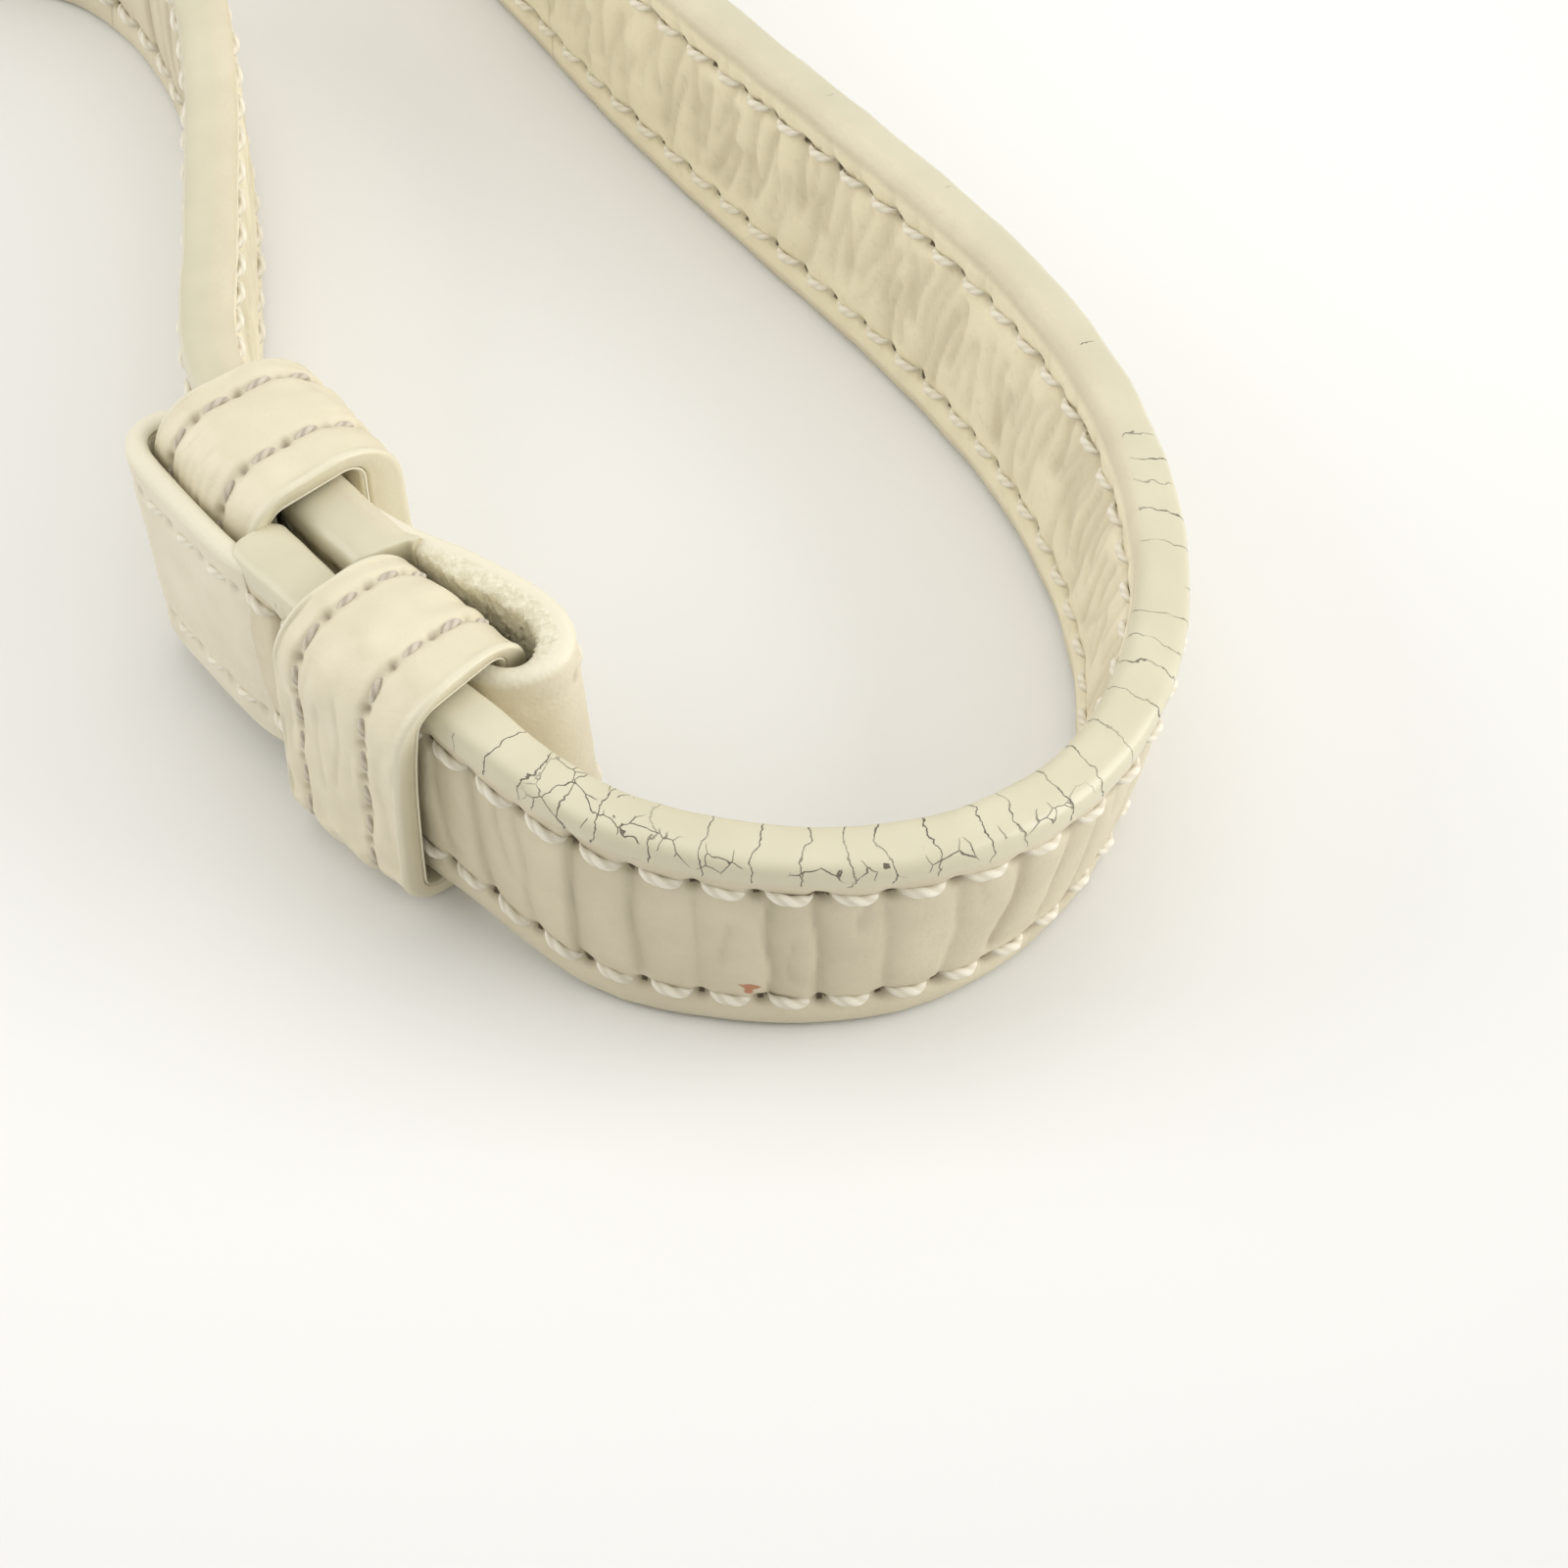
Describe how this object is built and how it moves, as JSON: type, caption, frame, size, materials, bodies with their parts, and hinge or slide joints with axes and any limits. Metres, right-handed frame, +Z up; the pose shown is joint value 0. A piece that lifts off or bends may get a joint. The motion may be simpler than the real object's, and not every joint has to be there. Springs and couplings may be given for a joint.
{
  "type": "adjustable leather shoulder strap",
  "caption": "Padded stitched leather strap in a closed ring, its two thinned ends lapped side by side through a pair of sliding leather keepers that set its length",
  "frame": {"origin": "middle of the bounding box, on the floor", "axes": "+Z up the width of the strap as it stands on edge, +Y along the ring's longer way, away from the keepers"},
  "size_m": [0.2116, 0.2642, 0.0282],
  "materials": {
    "leather_face": "semi-matt",
    "leather_inner": "semi-matt",
    "edge_coat": "painted, crackled",
    "filler": "rough",
    "thread": "matt",
    "keeper_leather": "satin",
    "keeper_thread": "matt"
  },
  "bodies": {
    "strap": {"bottom_edge_coat_flex": "edge_coat", "bottom_edge_coat_main": "edge_coat", "filler_flex": "filler", "filler_main": "filler", "inner_leather_flex": "leather_inner", "inner_leather_main": "leather_inner", "inner_thread_lower_flex": "thread", "inner_thread_lower_main": "thread", "inner_thread_upper_flex": "thread", "inner_thread_upper_main": "thread", "outer_leather_flex": "leather_face", "outer_leather_main": "leather_face", "outer_thread_lower_flex": "thread", "outer_thread_lower_main": "thread", "outer_thread_upper_flex": "thread", "outer_thread_upper_main": "thread", "tail_leather_main": "leather_face", "tail_lining_main": "leather_inner", "tail_thread_lower_main": "thread", "tail_thread_upper_main": "thread", "top_edge_coat_flex": "edge_coat", "top_edge_coat_main": "edge_coat", "upper_keeper_leather": "keeper_leather", "upper_keeper_lining": "leather_inner", "upper_keeper_thread_left": "keeper_thread", "upper_keeper_thread_right": "keeper_thread"},
    "sliding_end": {"bottom_edge_coat_sliding": "edge_coat", "filler_sliding": "filler", "inner_leather_sliding": "leather_inner", "inner_thread_lower_sliding": "thread", "inner_thread_upper_sliding": "thread", "lower_keeper_leather": "keeper_leather", "lower_keeper_lining": "leather_inner", "lower_keeper_thread_left": "keeper_thread", "lower_keeper_thread_right": "keeper_thread", "outer_leather_sliding": "leather_face", "outer_thread_lower_sliding": "thread", "outer_thread_upper_sliding": "thread", "tail_leather_sliding": "leather_face", "tail_lining_sliding": "leather_inner", "tail_thread_lower_sliding": "thread", "tail_thread_upper_sliding": "thread", "top_edge_coat_sliding": "edge_coat"}
  },
  "joints": [
    {"name": "length_slide", "type": "hinge", "parent": "strap", "child": "sliding_end", "pos_m": [0.16727, 0.00746, 0.0155], "axis": [0, 0, 1], "range_deg": [-2.3, 2], "deforming": ["bottom_edge_coat_flex", "filler_flex", "inner_leather_flex", "inner_thread_lower_flex", "inner_thread_upper_flex", "outer_leather_flex", "outer_thread_lower_flex", "outer_thread_upper_flex", "top_edge_coat_flex"]}
  ]
}
